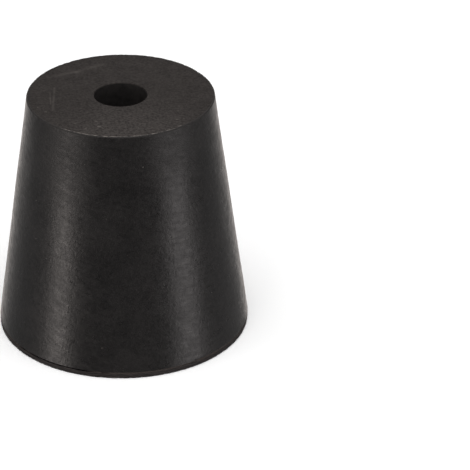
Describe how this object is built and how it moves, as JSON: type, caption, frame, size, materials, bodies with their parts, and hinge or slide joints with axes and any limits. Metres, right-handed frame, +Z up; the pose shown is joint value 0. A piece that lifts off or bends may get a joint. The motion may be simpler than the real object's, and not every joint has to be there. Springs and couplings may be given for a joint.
{
  "type": "rubber stopper",
  "caption": "Tapered rubber stopper with one straight hole through it for a glass tube, standing on its wide end.",
  "frame": {"origin": "centre of the wide end's face, on which the stopper stands", "axes": "+Z runs up the hole from the wide end to the narrow end; the size mark on the wide face lies towards +Y"},
  "size_m": [0.024, 0.024, 0.0238],
  "materials": {
    "rubber": "moulded, matt end faces and a satin tapered wall"
  },
  "bodies": {
    "root": {"stopper": "rubber"}
  },
  "joints": []
}
